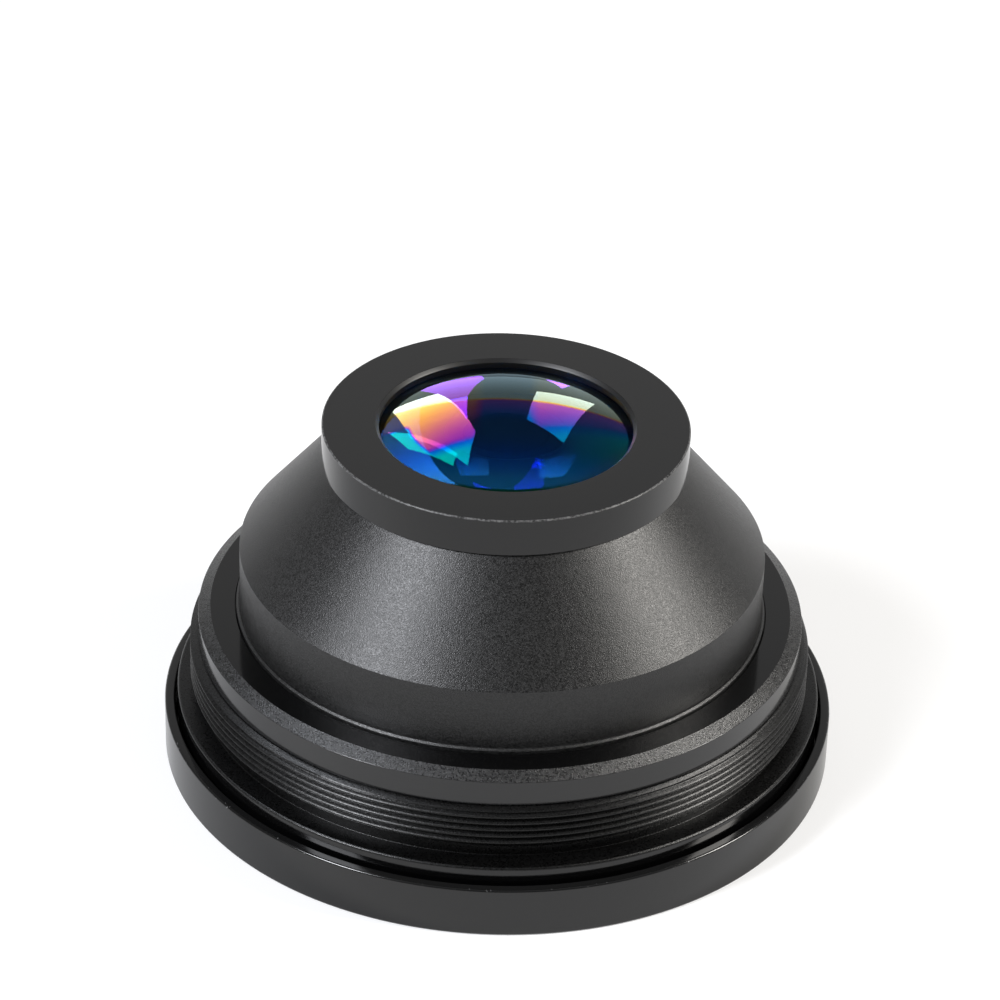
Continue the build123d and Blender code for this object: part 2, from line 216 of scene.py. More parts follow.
def lead_in(height):
    """The cone that guides the thread into the scan head."""
    fall = max(0.0, (height - THREAD_TOP) / (COLLAR_FOOT - THREAD_TOP))
    return THREAD_CREST - fall * (THREAD_CREST - LEAD_RADIUS)


print("thread crest", thread_radius(0), "root", thread_radius(0.5))

# %% Housing profile
NECK_RADIUS = 41.3
FLANGE_TOP = 9.57
COLLAR_RADIUS = 41.34
COLLAR_CHAMFER_HEIGHT = 0.93
COLLAR_CHAMFER_WIDTH = 1.68
COLLAR_STEP, COLLAR_STEP_HEIGHT = 0.12, 0.14
COUNTERBORE = 36.25
SPIGOT_BORE = 34.7
WEB_TOP, WEB_FOOT, WEB_OPENING = 15.0, 13.5, 33.65
FIELD_BORE = 37.05
WINDOW_BORE, WINDOW_LEDGE = 39.55, 5.7

above_thread = soften([
    (LEAD_RADIUS, COLLAR_FOOT, 0),
    (COLLAR_RADIUS - COLLAR_STEP, COLLAR_FOOT, 0),
    (COLLAR_RADIUS - COLLAR_STEP, COLLAR_FOOT + COLLAR_STEP_HEIGHT, 0),
    (COLLAR_RADIUS, COLLAR_FOOT + COLLAR_STEP_HEIGHT, 0.05),
    (COLLAR_RADIUS, collar_top - COLLAR_CHAMFER_HEIGHT, 0.09),
    (COLLAR_RADIUS - COLLAR_CHAMFER_WIDTH, collar_top, 0.08),
    (COUNTERBORE, collar_top, 0.12),
    (COUNTERBORE, counterbore_floor, 0),
    (SPIGOT_BORE, counterbore_floor, 0),
    (SPIGOT_BORE, WEB_TOP, 0),
    (WEB_OPENING, WEB_TOP, 0),
    (WEB_OPENING, WEB_FOOT, 0),
    (FIELD_BORE, WEB_FOOT, 0),
    (FIELD_BORE, WINDOW_LEDGE, 0),
    (WINDOW_BORE, WINDOW_LEDGE, 0),
    (WINDOW_BORE, housing_foot, 0.15),
    (flange_radius, housing_foot, 0.4),
    (flange_radius, FLANGE_TOP, 0.35),
    (NECK_RADIUS, FLANGE_TOP, 0.1),
    (NECK_RADIUS, THREAD_FOOT, 0),
])
print("housing profile points:", len(above_thread))


# %% Housing with its helix
def threaded_housing():
    """The housing: its turned profile, joined to the helical sheet that is its thread."""
    vertices, faces = turned_faces(above_thread, closed=False)
    first_ring = list(range(SEGMENTS))
    last_ring = list(range(len(vertices) - SEGMENTS, len(vertices)))
    start = THREAD_FOOT - PITCH
    turns = int((COLLAR_FOOT - start) / PITCH) + 2
    rows = []
    for pitch in range(turns):
        for share, _ in THREAD_SECTION:
            base = start + (pitch + share) * PITCH
            row = []
            for segment in range(SEGMENTS):
                turn = 2 * pi * segment / SEGMENTS
                climb = PITCH * segment / SEGMENTS
                height = min(max(base + climb, THREAD_FOOT), COLLAR_FOOT)
                radius = min(thread_radius((height - climb - start) / PITCH), lead_in(height))
                row.append(len(vertices))
                vertices.append((radius * MM * cos(turn), radius * MM * sin(turn), height * MM))
            rows.append(row)
    per_pitch = len(THREAD_SECTION)
    for index, (low, high) in enumerate(zip(rows, rows[1:])):
        for here in range(SEGMENTS - 1):
            faces.append([low[here], low[here + 1], high[here + 1], high[here]])
        seam_low = rows[min(index + per_pitch, len(rows) - 1)][0]
        seam_high = rows[min(index + 1 + per_pitch, len(rows) - 1)][0]
        faces.append([low[-1], seam_low, seam_high, high[-1]])
    for here in range(SEGMENTS):
        there = (here + 1) % SEGMENTS
        faces.append([last_ring[here], last_ring[there], rows[0][there], rows[0][here]])
        faces.append([rows[-1][here], rows[-1][there], first_ring[there], first_ring[here]])
    return merged(vertices, faces)


PLACES_PER_METRE = 1e7


def merged(vertices, faces):
    """Joins vertices that fall on one place and drops the faces that this closes."""
    places, kept, found = {}, [], []
    for vertex in vertices:
        key = tuple(round(axis * PLACES_PER_METRE) for axis in vertex)
        if key not in places:
            places[key] = len(kept)
            kept.append(vertex)
        found.append(places[key])
    loops = []
    for face in faces:
        loop = [found[vertex] for vertex in face]
        loop = [vertex for n, vertex in enumerate(loop) if vertex != loop[n - 1]]
        if len(set(loop)) >= 3:
            loops.append(loop)
    return kept, loops


main_housing = piece_from("threaded_housing", *threaded_housing())

# %% [markdown]
# ## Cone barrel
# The barrel carries the lenses. Its shoulder sits on the shim in the housing, its column rises
# straight, and its cone narrows to the entrance. It is blasted with fine beads before it is
# anodised, which leaves an even grain over cone and column.

# %% Cone barrel
COLUMN_RADIUS = 35.66
CONE_FOOT, CONE_TOP = 31.2, 44.9
COLUMN_FOOT = 22.6
CONE_TOP_RADIUS = 24.3
BARREL_NECK_RADIUS = 22.4
SPIGOT_RADIUS = 34.6
SHOULDER_CHAMFER = 0.25
BORE_1, BORE_2, BORE_3 = 19.05, 24.05, 31.05
SEAT_2 = 41.0
SEAT_WIDTH_1, SEAT_WIDTH_2 = 1.4, 3.8
STEP_3 = 32.674
GROOVE_TOP, GROOVE_FOOT, GROOVE_FLOOR = 18.7, 17.5, 33.8

cone_barrel = turned_piece("cone_barrel_turning", [
    (BORE_3, spigot_foot, 0),
    (SPIGOT_RADIUS, spigot_foot, 0.1),
    (SPIGOT_RADIUS, GROOVE_FOOT, 0),
    (GROOVE_FLOOR, GROOVE_FOOT, 0),
    (GROOVE_FLOOR, GROOVE_TOP, 0),
    (SPIGOT_RADIUS, GROOVE_TOP, 0),
    (SPIGOT_RADIUS, shoulder_foot, 0),
    (shoulder_radius, shoulder_foot, 0),
    (shoulder_radius, COLUMN_FOOT - SHOULDER_CHAMFER, 0.05),
    (shoulder_radius - SHOULDER_CHAMFER, COLUMN_FOOT, 0.05),
    (COLUMN_RADIUS, COLUMN_FOOT, 0),
    (COLUMN_RADIUS, CONE_FOOT, 0.1),
    (CONE_TOP_RADIUS, CONE_TOP, 0.1),
    (BARREL_NECK_RADIUS, CONE_TOP, 0),
    (BARREL_NECK_RADIUS, neck_top, 0.1),
    (BORE_1, neck_top, 0.1),
    (BORE_1, lens_seat, 0),
    (BORE_1 - SEAT_WIDTH_1, lens_seat, 0),
    (BORE_2 - SEAT_WIDTH_2, SEAT_2, 0),
    (BORE_2, SEAT_2, 0),
    (BORE_2, STEP_3, 0),
    (BORE_3, STEP_3, 0),
])

# %% [markdown]
# ## Entrance ring
# The ring screws over the barrel's neck and holds the entrance lens by its rim. Its outer edge
# is broken just enough to give the thin bright line around its top face, and a small chamfer
# opens its bore towards the light. Pale dots on that edge strengthen the bright line: they are
# partly rubbed metal and partly a painted highlight.

# %% Entrance ring
RING_BORE = 22.5
RING_OPENING = 17.01
LIP_FOOT = 49.011
RING_EDGE = 0.2
OPENING_CHAMFER = 0.45

entrance_ring = turned_piece("entrance_ring_turning", [
    (RING_BORE, ring_foot, 0),
    (ring_radius, ring_foot, 0.1),
    (ring_radius, ring_top, RING_EDGE),
    (RING_OPENING + OPENING_CHAMFER, ring_top, 0.04),
    (RING_OPENING, ring_top - OPENING_CHAMFER, 0.04),
    (RING_OPENING, LIP_FOOT, 0.08),
    (RING_BORE, LIP_FOOT, 0),
])

# %% [markdown]
# ## Lenses
# A lens is a solid with two polished faces and a ground rim. The faces need many rings, since
# a coarse dome would bend the reflections that make glass read as glass.

# %% Lens shapes
LENS_RINGS = 48
LENS_CHAMFER = 0.2


def lens_height(vertex, curvature, radius):
    """Height of a polished face; a positive curvature bulges towards the entrance."""
    if curvature == 0:
        return vertex
    side = 1 if curvature > 0 else -1
    return vertex - side * (abs(curvature) - sqrt(curvature**2 - radius**2))


def lens_piece(name, rim, front, front_vertex, rear, rear_vertex, clear):
    """A lens turned from its axis, down one face and back along the other."""
    outward = [clear * ring / LENS_RINGS for ring in range(LENS_RINGS + 1)]
    rear_face = [Vector((radius, lens_height(rear_vertex, rear, radius))) for radius in outward]
    front_face = [Vector((radius, lens_height(front_vertex, front, radius))) for radius in outward[::-1]]
    edge = [
        Vector((rim - LENS_CHAMFER, rear_face[-1].y)),
        Vector((rim, rear_face[-1].y + LENS_CHAMFER)),
        Vector((rim, front_face[0].y - LENS_CHAMFER)),
        Vector((rim - LENS_CHAMFER, front_face[0].y)),
    ]
    return piece_from(name, *turned_faces(rear_face + edge + front_face, closed=False))


# %% [markdown]
# ## The four lenses
# The beam meets a domed entrance lens, a thin negative lens, a thick meniscus and the wide
# field lens. Rims come from the frame, and so does a vertex that is the highest or lowest point
# of its lens. The other vertices are named here. A face's radius of curvature is positive where
# it bulges towards the entrance and 0 where it is flat.

# %% The four lenses
ENTRANCE_FRONT, ENTRANCE_REAR = 40, 90
SECOND_FRONT, SECOND_REAR = -75, 110
THIRD_FRONT, THIRD_REAR = -95, -50
FIELD_FRONT, FIELD_REAR = 0, -130
ENTRANCE_REAR_VERTEX = 46.198
SECOND_FRONT_VERTEX, SECOND_REAR_VERTEX = 38.06, 35.46
THIRD_FRONT_VERTEX = 25.907
ENTRANCE_FLAT, SECOND_FLAT, THIRD_FLAT, FIELD_FLAT = 1.6, 3.2, 1.9, 1.6

second_radius = reach("second_lens")[0]
third_radius, third_foot, _ = reach("third_lens")
field_radius, field_foot, field_top = reach("field_lens")

entrance_lens = lens_piece(
    "entrance_lens_glass", lens_radius, ENTRANCE_FRONT, lens_apex,
    ENTRANCE_REAR, ENTRANCE_REAR_VERTEX, lens_radius - ENTRANCE_FLAT)
second_lens = lens_piece(
    "second_lens_glass", second_radius, SECOND_FRONT, SECOND_FRONT_VERTEX,
    SECOND_REAR, SECOND_REAR_VERTEX, second_radius - SECOND_FLAT)
third_lens = lens_piece(
    "third_lens_glass", third_radius, THIRD_FRONT, THIRD_FRONT_VERTEX,
    THIRD_REAR, third_foot, third_radius - THIRD_FLAT)
field_lens = lens_piece(
    "field_lens_glass", field_radius, FIELD_FRONT, field_top,
    FIELD_REAR, field_foot, field_radius - FIELD_FLAT)

# %% [markdown]
# ## Effects that several finishes share
# Blasting, turning, handling and dust each leave a pattern of their own, whatever the piece is
# made of. Each pattern is a node group, built once, that gives values which change over the
# surface. The materials decide what those values do. Object coordinates are used throughout,
# so a pattern has a real size and stays with its piece.

# %% Node helpers
def node(tree, kind, place=(0, 0), **values):
    """A node at a place in the editor, with its properties set."""
    made = tree.nodes.new(kind)
    made.location = place
    for key, value in values.items():
        setattr(made, key, value)
    return made


def new_group(name, inputs, outputs):
    """A node group with float inputs and outputs; gives the tree and its two end nodes."""
    tree = bpy.data.node_groups.new(name, "ShaderNodeTree")
    for label, value in inputs:
        tree.interface.new_socket(label, in_out="INPUT", socket_type="NodeSocketFloat").default_value = value
    for label in outputs:
        tree.interface.new_socket(label, in_out="OUTPUT", socket_type="NodeSocketFloat")
    print("group", name, "puts out", outputs)
    return tree, node(tree, "NodeGroupInput", (-900, 0)), node(tree, "NodeGroupOutput", (700, 0))


def use_group(tree, group, place, **values):
    """Places a group in a material and sets its named inputs."""
    made = node(tree, "ShaderNodeGroup", place, node_tree=group)
    for label, value in values.items():
        made.inputs[label.replace("_", " ")].default_value = value
    return made


def spread(tree, place, source, low, high):
    """Maps a value from 0..1 to low..high."""
    made = node(tree, "ShaderNodeMapRange", place)
    made.inputs["To Min"].default_value = low
    made.inputs["To Max"].default_value = high
    tree.links.new(source, made.inputs["Value"])
    return made.outputs["Result"]


# %% [markdown]
# ## Bead blast
# Beads thrown at the metal leave shallow dimples that run into each other, about 0.15 mm
# across. A noise of that size, read as a height, gives the dimples. A cell texture gives each
# blow a random value of its own, hard or soft, and that sets how pale and how rough the metal
# is there. Height alone would read as wrinkled leather, since it has no salt and pepper in it.

# %% Bead blast group
DIMPLES_PER_BLOW = 1.4

bead_blast, group_in, group_out = new_group(
    "bead_blast", [("Grain Per Metre", 6200.0)], ["Height", "Grain"])
coordinates = node(bead_blast, "ShaderNodeTexCoord", (-900, -200))
blows = node(bead_blast, "ShaderNodeTexVoronoi", (-500, -150))
force = node(bead_blast, "ShaderNodeSeparateColor", (-250, -150))
finer = node(bead_blast, "ShaderNodeMath", (-700, 100), operation="MULTIPLY")
finer.inputs[1].default_value = DIMPLES_PER_BLOW
dimples = node(bead_blast, "ShaderNodeTexNoise", (-500, 150))
dimples.inputs["Detail"].default_value = 0.0
bead_blast.links.new(coordinates.outputs["Object"], blows.inputs["Vector"])
bead_blast.links.new(group_in.outputs["Grain Per Metre"], blows.inputs["Scale"])
bead_blast.links.new(blows.outputs["Color"], force.inputs[0])
bead_blast.links.new(force.outputs["Red"], group_out.inputs["Grain"])
bead_blast.links.new(group_in.outputs["Grain Per Metre"], finer.inputs[0])
bead_blast.links.new(finer.outputs[0], dimples.inputs["Scale"])
bead_blast.links.new(coordinates.outputs["Object"], dimples.inputs["Vector"])
bead_blast.links.new(dimples.outputs["Fac"], group_out.inputs["Height"])

# %% [markdown]
# ## Turning marks
# A lathe tool leaves a very fine spiral. Around the axis it reads as rings, so the pattern is
# noise that depends only on the distance from the axis and on the height, never on the angle.
# It gives the faint streaks that follow each turned face.

# %% Turning marks group
turning_marks, group_in, group_out = new_group(
    "turning_marks", [("Marks Per Metre", 9000.0)], ["Height", "Streak"])
coordinates = node(turning_marks, "ShaderNodeTexCoord", (-900, -200))
axes = node(turning_marks, "ShaderNodeSeparateXYZ", (-750, -200))
across = node(turning_marks, "ShaderNodeCombineXYZ", (-600, -100))
distance = node(turning_marks, "ShaderNodeVectorMath", (-450, -100), operation="LENGTH")
section = node(turning_marks, "ShaderNodeCombineXYZ", (-300, -200))
marks = node(turning_marks, "ShaderNodeTexNoise", (-50, 0))
marks.inputs["Detail"].default_value = 2.0
turning_marks.links.new(coordinates.outputs["Object"], axes.inputs[0])
turning_marks.links.new(axes.outputs["X"], across.inputs["X"])
turning_marks.links.new(axes.outputs["Y"], across.inputs["Y"])
turning_marks.links.new(across.outputs[0], distance.inputs[0])
turning_marks.links.new(distance.outputs["Value"], section.inputs["X"])
turning_marks.links.new(axes.outputs["Z"], section.inputs["Z"])
turning_marks.links.new(section.outputs[0], marks.inputs["Vector"])
turning_marks.links.new(group_in.outputs["Marks Per Metre"], marks.inputs["Scale"])
turning_marks.links.new(marks.outputs["Fac"], group_out.inputs["Height"])
turning_marks.links.new(marks.outputs["Fac"], group_out.inputs["Streak"])

# %% [markdown]
# ## Edge wear and painted highlight
# An edge is where handling rubs the black layer thin, so the paler metal shows there in short
# stretches and dots. On the entrance ring's top edge the same pale dots are also a painted
# highlight: they stand in for the bright line that the edge catches. Painting them by hand would
# take a picture, so fine noise is cut at a level that each material chooses: a low level for a
# rubbed edge, a high one for a few nicks.

# %% Edge wear and painted highlight group
edge_wear_and_painted_highlight, group_in, group_out = new_group(
    "edge_wear_and_painted_highlight", [("Spots Per Metre", 2600.0), ("Bare From", 0.5), ("Bare To", 0.62)], ["Mask"])
coordinates = node(edge_wear_and_painted_highlight, "ShaderNodeTexCoord", (-900, -200))
wear_and_highlight_noise = node(edge_wear_and_painted_highlight, "ShaderNodeTexNoise", (-500, 0))
wear_and_highlight_noise.inputs["Detail"].default_value = 3.0
wear_and_highlight_noise.inputs["Roughness"].default_value = 0.65
bare_and_highlight_spots = node(edge_wear_and_painted_highlight, "ShaderNodeMapRange", (-250, 0))
edge_wear_and_painted_highlight.links.new(coordinates.outputs["Object"], wear_and_highlight_noise.inputs["Vector"])
edge_wear_and_painted_highlight.links.new(group_in.outputs["Spots Per Metre"], wear_and_highlight_noise.inputs["Scale"])
edge_wear_and_painted_highlight.links.new(wear_and_highlight_noise.outputs["Fac"], bare_and_highlight_spots.inputs["Value"])
edge_wear_and_painted_highlight.links.new(group_in.outputs["Bare From"], bare_and_highlight_spots.inputs["From Min"])
edge_wear_and_painted_highlight.links.new(group_in.outputs["Bare To"], bare_and_highlight_spots.inputs["From Max"])
edge_wear_and_painted_highlight.links.new(bare_and_highlight_spots.outputs["Result"], group_out.inputs["Mask"])

# %% [markdown]
# ## Dust
# A few pale specks settle even on a clean part. A cell texture gives one point per cell, and
# only the rare cells with a high random value keep theirs.

# %% Dust group
dust, group_in, group_out = new_group(
    "dust", [("Specks Per Metre", 260.0), ("Speck Size", 0.045), ("Rarity", 0.9)], ["Mask"])
coordinates = node(dust, "ShaderNodeTexCoord", (-900, -200))
cells = node(dust, "ShaderNodeTexVoronoi", (-600, 0))
dust.links.new(coordinates.outputs["Object"], cells.inputs["Vector"])
dust.links.new(group_in.outputs["Specks Per Metre"], cells.inputs["Scale"])
near = node(dust, "ShaderNodeMath", (-350, 100), operation="LESS_THAN")
dust.links.new(cells.outputs["Distance"], near.inputs[0])
dust.links.new(group_in.outputs["Speck Size"], near.inputs[1])
shade = node(dust, "ShaderNodeSeparateColor", (-400, -150))
dust.links.new(cells.outputs["Color"], shade.inputs[0])
rare = node(dust, "ShaderNodeMath", (-150, -150), operation="GREATER_THAN")
dust.links.new(shade.outputs["Red"], rare.inputs[0])
dust.links.new(group_in.outputs["Rarity"], rare.inputs[1])
both = node(dust, "ShaderNodeMath", (100, 0), operation="MULTIPLY")
dust.links.new(near.outputs[0], both.inputs[0])
dust.links.new(rare.outputs[0], both.inputs[1])
dust.links.new(both.outputs[0], group_out.inputs["Mask"])

# %% [markdown]
# ## Black anodised aluminium
# Anodising leaves a hard clear layer that is dyed black. Nearly all that the eye gets from it
# is the reflection in that layer, so the base is almost black and the index of 1.5 does the
# rest. A metallic material would be wrong here: its reflections would be grey and too strong.
# Turned faces are satin and blasted faces are rougher. The inside is matt. The chamfer and the
# thread are blasted too, but less, so their grain is glossier than that of the cone. The
# thread's index is lower, 1.41, which makes it a little darker still.

# %% Material helper
DUST_GREY = 0.3
CLEAR_LAYER_INDEX = 1.5


def new_material(name, roughness, index=CLEAR_LAYER_INDEX):
    """A material with its tree and its shader, ready for its pattern."""
    material = bpy.data.materials.new(name)
    material.use_nodes = True
    tree = material.node_tree
    shader = tree.nodes["Principled BSDF"]
    shader.inputs["Roughness"].default_value = roughness
    shader.inputs["IOR"].default_value = index
    print("material", name)
    return material, tree, shader


def rising_from(tree, shader, height, distance):
    """Lets a height pattern bend the normals; the distance is its real depth in metres."""
    bump = node(tree, "ShaderNodeBump", (-200, -300))
    bump.inputs["Distance"].default_value = distance
    tree.links.new(height, bump.inputs["Height"])
    tree.links.new(bump.outputs["Normal"], shader.inputs["Normal"])


def dusty(tree, shader, base, rarity=0.93, source=None):
    """Base colour with a few dust specks over it."""
    specks = use_group(tree, dust, (-700, 300), Rarity=rarity)
    mix = node(tree, "ShaderNodeMix", (-300, 300), data_type="RGBA")
    mix.inputs["A"].default_value = (*base, 1)
    mix.inputs["B"].default_value = (DUST_GREY, DUST_GREY, DUST_GREY, 1)
    if source:
        tree.links.new(source, mix.inputs["A"])
    tree.links.new(specks.outputs["Mask"], mix.inputs["Factor"])
    tree.links.new(mix.outputs["Result"], shader.inputs["Base Color"])


def turned_black(name, base, low, high, depth=1.2e-6, rarity=0.93):
    """A turned black finish: streaks in roughness and very shallow rings."""
    material, tree, shader = new_material(name, low)
    marks = use_group(tree, turning_marks, (-700, -100))
    tree.links.new(spread(tree, (-400, 0), marks.outputs["Streak"], low, high), shader.inputs["Roughness"])
    rising_from(tree, shader, marks.outputs["Height"], depth)
    dusty(tree, shader, base, rarity)
    return material


def blasted_black(name, dark, pale, low, high, depth, grain=6200.0, index=CLEAR_LAYER_INDEX):
    """A blasted black finish: dimples in height, each blow with its own tone and roughness."""
    material, tree, shader = new_material(name, low, index)
    blast = use_group(tree, bead_blast, (-700, -100), Grain_Per_Metre=grain)
    tree.links.new(spread(tree, (-400, 0), blast.outputs["Grain"], low, high), shader.inputs["Roughness"])
    rising_from(tree, shader, blast.outputs["Height"], depth)
    tone = node(tree, "ShaderNodeMix", (-500, 500), data_type="RGBA")
    tone.inputs["A"].default_value = (dark, dark, dark, 1)
    tone.inputs["B"].default_value = (pale, pale, pale, 1)
    tree.links.new(blast.outputs["Grain"], tone.inputs["Factor"])
    dusty(tree, shader, (dark, dark, dark), source=tone.outputs["Result"])
    return material


def worn_edge_and_painted_highlight(name, bare_and_highlight_spots, start, end, low, high):
    """A dark edge that shows paler dots where it is rubbed or nicked; on the entrance ring the dots are also
    a painted highlight.
    """
    material, tree, shader = new_material(name, low)
    wear = use_group(tree, edge_wear_and_painted_highlight, (-700, 200), Bare_From=start, Bare_To=end)
    mix = node(tree, "ShaderNodeMix", (-300, 300), data_type="RGBA")
    mix.inputs["A"].default_value = (0.004, 0.004, 0.004, 1)
    mix.inputs["B"].default_value = (*bare_and_highlight_spots, 1)
    tree.links.new(wear.outputs["Mask"], mix.inputs["Factor"])
    tree.links.new(mix.outputs["Result"], shader.inputs["Base Color"])
    tree.links.new(spread(tree, (-400, 0), wear.outputs["Mask"], low, high), shader.inputs["Roughness"])
    return material


# %% Black finishes
satin_black = turned_black("satin_black_anodise", (0.0015, 0.0015, 0.0016), 0.07, 0.12)
collar_black = turned_black("collar_black_anodise", (0.014, 0.014, 0.0142), 0.1, 0.16)
blast_black = blasted_black("blasted_black_anodise", 0.0, 0.016, 0.32, 0.43, 3e-5)
chamfer_black = blasted_black("chamfer_black_anodise", 0.0, 0.02, 0.24, 0.36, 4e-5, grain=4800.0)
thread_black = blasted_black("thread_black_anodise", 0.0, 0.003, 0.26, 0.36, 1.4e-5, index=1.41)
cap_rim_plastic = worn_edge_and_painted_highlight("cap_rim_plastic", (0.4, 0.4, 0.4), 0.68, 0.72, 0.12, 0.3)
# The ring's top edge: pale dots of rubbed metal that also paint in its bright line, a painted highlight.
rubbed_edge_and_painted_highlight = worn_edge_and_painted_highlight("rubbed_edge_and_painted_highlight", (0.12, 0.12, 0.12), 0.38, 0.6, 0.3, 0.45)
inner_black = turned_black("inner_black_anodise", (0.002, 0.002, 0.002), 0.35, 0.5)

# %% [markdown]
# ## Cap plastic, seals and shim
# The cap is moulded in a turned tool, so it carries the fine rings of that tool. It gets no
# dust specks, as a rarity of 1 keeps none. Rubber and film have a dull surface, which a high
# roughness gives. The shim is steel without a coat, so its finish is the only metallic one.

# %% Plastic, rubber, film and steel
cap_plastic = turned_black("cap_plastic", (0.007, 0.007, 0.007), 0.1, 0.16, rarity=1.0)
seal_rubber = blasted_black("seal_rubber", 0.008, 0.012, 0.55, 0.7, 2e-6)
seal_film = blasted_black("seal_film", 0.018, 0.022, 0.45, 0.6, 1e-6)
shim_steel, tree, shader = new_material("shim_steel", 0.3)
shader.inputs["Metallic"].default_value = 1.0
marks = use_group(tree, turning_marks, (-700, -100))
tree.links.new(spread(tree, (-400, 0), marks.outputs["Streak"], 0.22, 0.36), shader.inputs["Roughness"])
dusty(tree, shader, (0.55, 0.55, 0.54))

# %% [markdown]
# ## Coated glass
# Laser glass is coated so that the laser's infrared passes without loss. In visible light the
# coating is a thin film that paints each reflection in interference colours. The shader has a
# thin film of its own, which keeps those colours right from every side. A coloured gloss would
# be quicker, but its colour wouldn't shift with the angle. The colour socket of the dome is
# blue: it tints only what passes through the glass, and leaves the reflections alone.

# %% Coated glass
FILM_INDEX = 1.22
DOME_TINT = (0.05, 0.27, 0.85)


def coated_glass_material(name, tint=(1.0, 1.0, 1.0)):
    """Clear glass under a film; gives the material, its tree, its shader and the place on the lens."""
    material, tree, shader = new_material(name, 0.0)
    shader.inputs["Base Color"].default_value = (*tint, 1)
    shader.inputs["Transmission Weight"].default_value = 1.0
    shader.inputs["Thin Film IOR"].default_value = FILM_INDEX
    coordinates = node(tree, "ShaderNodeTexCoord", (-1300, 0))
    return material, tree, shader, coordinates.outputs["Object"]


def reckon(tree, operation, *values):
    """One step of arithmetic on numbers and sockets."""
    made = node(tree, "ShaderNodeMath", operation=operation)
    for socket, value in zip(made.inputs, values):
        if isinstance(value, (int, float)):
            socket.default_value = value
        else:
            tree.links.new(value, socket)
    return made.outputs[0]


def fade(tree, source, start, end):
    """0 at the start, 1 at the end and beyond; the start may be the larger one."""
    made = node(tree, "ShaderNodeMapRange")
    made.inputs["From Min"].default_value = start
    made.inputs["From Max"].default_value = end
    tree.links.new(source, made.inputs["Value"])
    return made.outputs["Result"]


def blend(tree, share, low, high):
    """Low where the share is 0, high where it is 1."""
    rise = reckon(tree, "SUBTRACT", high, low)
    return reckon(tree, "MULTIPLY_ADD", rise, share, low)


def lens_place(tree, place):
    """Place on the lens in millimetres: across it and along it."""
    axes = node(tree, "ShaderNodeSeparateXYZ", (-1150, 0))
    tree.links.new(place, axes.inputs[0])
    return (reckon(tree, "DIVIDE", axes.outputs["X"], MM), reckon(tree, "DIVIDE", axes.outputs["Y"], MM))


# %% [markdown]
# ## Film of the entrance dome
# A coating chamber never lays the same thickness on all of a steep dome. Here that is made
# simpler and stronger than it is, for the look: three zones along the lens, from the far side
# over the middle to the near side. Seven values say how thick the film is: five in nanometres,
# a tilt per millimetre across the middle zone, and a bow per square millimetre across the near
# one. The near zone also runs round the front of the rim. Arithmetic nodes make this from the
# place on the lens. A painted texture would do it too, but would blur when seen close up.

# %% Film of the entrance dome
FAR_CENTRE, FAR_SIDE = 300.0, 330.0
MIDDLE_CENTRE, MIDDLE_SIDE, MIDDLE_TILT = 490.0, 445.0, 4.0
NEAR_CENTRE, NEAR_BOW = 475.0, 0.4
# Where one zone gives way to the next, in millimetres from the axis.
CENTRE_ENDS, SIDE_BEGINS = 3.0, 4.4
MIDDLE_BEGINS, FAR_ENDS = 1.9, 2.7
MIDDLE_ENDS, NEAR_BEGINS, NEAR_SLANT = -4.8, -7.2, -0.3
RIM_BEGINS, RIM_IS_FULL = 12.9, 13.5
FRONT_BEGINS, FRONT_IS_FULL = -1.8, -3.0

dome_glass, tree, shader, place = coated_glass_material("coated_glass", DOME_TINT)
across, along = lens_place(tree, place)
central = fade(tree, reckon(tree, "ABSOLUTE", across), SIDE_BEGINS, CENTRE_ENDS)
far = blend(tree, central, FAR_SIDE, FAR_CENTRE)
tilted = reckon(tree, "MULTIPLY_ADD", across, MIDDLE_TILT, MIDDLE_SIDE)
middle = blend(tree, central, tilted, MIDDLE_CENTRE)
across_squared = reckon(tree, "MULTIPLY", across, across)
near = reckon(tree, "MULTIPLY_ADD", across_squared, NEAR_BOW, NEAR_CENTRE)
slanted = reckon(tree, "MULTIPLY_ADD", across, NEAR_SLANT, along)
from_axis = reckon(tree, "SQRT", reckon(tree, "MULTIPLY_ADD", along, along, across_squared))
on_rim = fade(tree, from_axis, RIM_BEGINS, RIM_IS_FULL)
in_front = fade(tree, along, FRONT_BEGINS, FRONT_IS_FULL)
front_rim = reckon(tree, "MULTIPLY", on_rim, in_front)
to_near = reckon(tree, "MAXIMUM", fade(tree, slanted, MIDDLE_ENDS, NEAR_BEGINS), front_rim)
far_to_middle = blend(tree, fade(tree, along, FAR_ENDS, MIDDLE_BEGINS), far, middle)
tree.links.new(blend(tree, to_near, far_to_middle, near), shader.inputs["Thin Film Thickness"])
print("film of", len(tree.nodes), "nodes on the dome")

# %% [markdown]
# ## Film of the inner faces, and the ground rims
# The inner faces are seen only through the dome. Their film is thin at the back and thickens
# towards the front, slowly at first, so the share is squared. The rim of a lens is ground and
# blackened so that stray light ends there, so it gets a dull black of its own.

# %% Film of the inner faces and ground rims
INNER_BACK, INNER_FRONT = 235.0, 440.0
INNER_BEGINS, INNER_IS_FULL = 1.0, -9.0

inner_glass, tree, shader, place = coated_glass_material("coated_glass_inner")
across, along = lens_place(tree, place)
to_front = fade(tree, along, INNER_BEGINS, INNER_IS_FULL)
to_front = reckon(tree, "MULTIPLY", to_front, to_front)
tree.links.new(blend(tree, to_front, INNER_BACK, INNER_FRONT), shader.inputs["Thin Film Thickness"])
ground_rim = blasted_black("ground_rim", 0.002, 0.006, 0.5, 0.6, 2e-6)

# %% [markdown]
# ## Each piece gets its main finish
# A finer piece rides the body of the frame, takes the place of the plain solid there, and
# wears its main finish.

